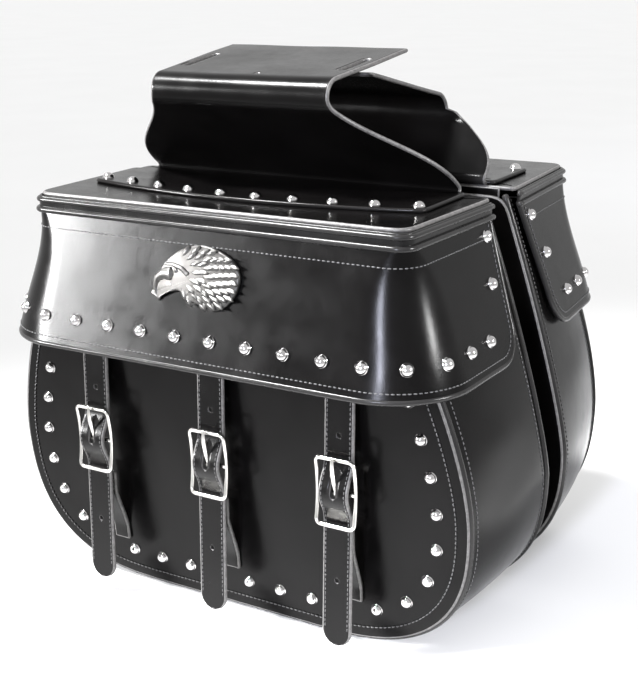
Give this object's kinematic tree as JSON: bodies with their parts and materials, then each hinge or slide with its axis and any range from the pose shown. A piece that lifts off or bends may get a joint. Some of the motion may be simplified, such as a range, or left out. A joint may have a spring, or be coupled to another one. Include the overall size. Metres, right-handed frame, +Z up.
{
  "type": "motorcycle saddlebags",
  "caption": "Pair of black leather throw-over saddlebags with studded flap lids, buckled straps and a two-piece lace-up yoke.",
  "frame": {"origin": "on the floor, midway between the two bags, at the middle of their length", "axes": "+X along the bags towards the rear of the motorcycle, +Y towards the right bag, +Z up"},
  "size_m": [0.3994, 0.338, 0.3945],
  "materials": {
    "leather": "smooth semi-gloss",
    "strap": "smooth semi-gloss",
    "welt": "satin",
    "stud_metal": "polished",
    "nickel": "polished",
    "snap_metal": "satin"
  },
  "bodies": {
    "left_bag": {"left_back_panel": "leather", "left_front_panel": "leather", "left_gusset": "leather", "left_front_welt": "welt", "left_back_welt": "welt", "left_hinge_strip": "leather", "left_panel_studs": "stud_metal", "left_billets": "leather", "left_snap_bases": "snap_metal", "left_yoke_arch": "leather"},
    "left_lid": {"left_lid_top": "leather", "left_lid_band": "leather", "left_lid_skirt": "leather", "left_lid_studs": "stud_metal", "left_lid_rivets": "stud_metal", "left_emblem": "stud_metal", "left_strap_tabs": "leather", "left_yoke_tab": "leather"},
    "left_front_strap": {"left_front_strap": "strap", "left_front_buckle": "nickel", "left_front_snap_cap": "snap_metal"},
    "left_front_prong": {"left_front_prong": "nickel"},
    "left_middle_strap": {"left_middle_strap": "strap", "left_middle_buckle": "nickel", "left_middle_snap_cap": "snap_metal"},
    "left_middle_prong": {"left_middle_prong": "nickel"},
    "left_rear_strap": {"left_rear_strap": "strap", "left_rear_buckle": "nickel", "left_rear_snap_cap": "snap_metal"},
    "left_rear_prong": {"left_rear_prong": "nickel"},
    "right_bag": {"right_back_panel": "leather", "right_front_panel": "leather", "right_gusset": "leather", "right_front_welt": "welt", "right_back_welt": "welt", "right_hinge_strip": "leather", "right_panel_studs": "stud_metal", "right_billets": "leather", "right_snap_bases": "snap_metal", "right_yoke_arch": "leather"},
    "right_lid": {"right_lid_top": "leather", "right_lid_band": "leather", "right_lid_skirt": "leather", "right_lid_studs": "stud_metal", "right_lid_rivets": "stud_metal", "right_emblem": "stud_metal", "right_strap_tabs": "leather", "right_yoke_tab": "leather"},
    "right_front_strap": {"right_front_strap": "strap", "right_front_buckle": "nickel", "right_front_snap_cap": "snap_metal"},
    "right_front_prong": {"right_front_prong": "nickel"},
    "right_middle_strap": {"right_middle_strap": "strap", "right_middle_buckle": "nickel", "right_middle_snap_cap": "snap_metal"},
    "right_middle_prong": {"right_middle_prong": "nickel"},
    "right_rear_strap": {"right_rear_strap": "strap", "right_rear_buckle": "nickel", "right_rear_snap_cap": "snap_metal"},
    "right_rear_prong": {"right_rear_prong": "nickel"}
  },
  "joints": [
    {"name": "yoke_adjust", "type": "slide", "parent": "left_bag", "child": "right_bag", "axis": [0, 1, 0], "range_m": [0, 0.028]},
    {"name": "left_lid_hinge", "type": "hinge", "parent": "left_bag", "child": "left_lid", "pos_m": [0, -0.02, 0.299], "axis": [1, 0, 0], "range_deg": [-60, 0], "deforming": ["left_yoke_arch"]},
    {"name": "left_front_strap_hinge", "type": "hinge", "parent": "left_lid", "child": "left_front_strap", "pos_m": [0, -0.1425, 0.1935], "axis": [1, 0, 0], "range_deg": [-75, 0]},
    {"name": "left_front_prong_pivot", "type": "hinge", "parent": "left_front_strap", "child": "left_front_prong", "pos_m": [0, -0.148, 0.124], "axis": [1, 0, 0], "range_deg": [0, 80]},
    {"name": "left_middle_strap_hinge", "type": "hinge", "parent": "left_lid", "child": "left_middle_strap", "pos_m": [0, -0.1425, 0.1935], "axis": [1, 0, 0], "range_deg": [-75, 0]},
    {"name": "left_middle_prong_pivot", "type": "hinge", "parent": "left_middle_strap", "child": "left_middle_prong", "pos_m": [0, -0.148, 0.124], "axis": [1, 0, 0], "range_deg": [0, 80]},
    {"name": "left_rear_strap_hinge", "type": "hinge", "parent": "left_lid", "child": "left_rear_strap", "pos_m": [0, -0.1425, 0.1935], "axis": [1, 0, 0], "range_deg": [-75, 0]},
    {"name": "left_rear_prong_pivot", "type": "hinge", "parent": "left_rear_strap", "child": "left_rear_prong", "pos_m": [0, -0.148, 0.124], "axis": [1, 0, 0], "range_deg": [0, 80]},
    {"name": "right_lid_hinge", "type": "hinge", "parent": "right_bag", "child": "right_lid", "pos_m": [0, 0.02, 0.299], "axis": [1, 0, 0], "range_deg": [0, 60], "deforming": ["right_yoke_arch"]},
    {"name": "right_front_strap_hinge", "type": "hinge", "parent": "right_lid", "child": "right_front_strap", "pos_m": [0, 0.1425, 0.1935], "axis": [1, 0, 0], "range_deg": [0, 75]},
    {"name": "right_front_prong_pivot", "type": "hinge", "parent": "right_front_strap", "child": "right_front_prong", "pos_m": [0, 0.148, 0.124], "axis": [1, 0, 0], "range_deg": [-80, 0]},
    {"name": "right_middle_strap_hinge", "type": "hinge", "parent": "right_lid", "child": "right_middle_strap", "pos_m": [0, 0.1425, 0.1935], "axis": [1, 0, 0], "range_deg": [0, 75]},
    {"name": "right_middle_prong_pivot", "type": "hinge", "parent": "right_middle_strap", "child": "right_middle_prong", "pos_m": [0, 0.148, 0.124], "axis": [1, 0, 0], "range_deg": [-80, 0]},
    {"name": "right_rear_strap_hinge", "type": "hinge", "parent": "right_lid", "child": "right_rear_strap", "pos_m": [0, 0.1425, 0.1935], "axis": [1, 0, 0], "range_deg": [0, 75]},
    {"name": "right_rear_prong_pivot", "type": "hinge", "parent": "right_rear_strap", "child": "right_rear_prong", "pos_m": [0, 0.148, 0.124], "axis": [1, 0, 0], "range_deg": [-80, 0]}
  ]
}
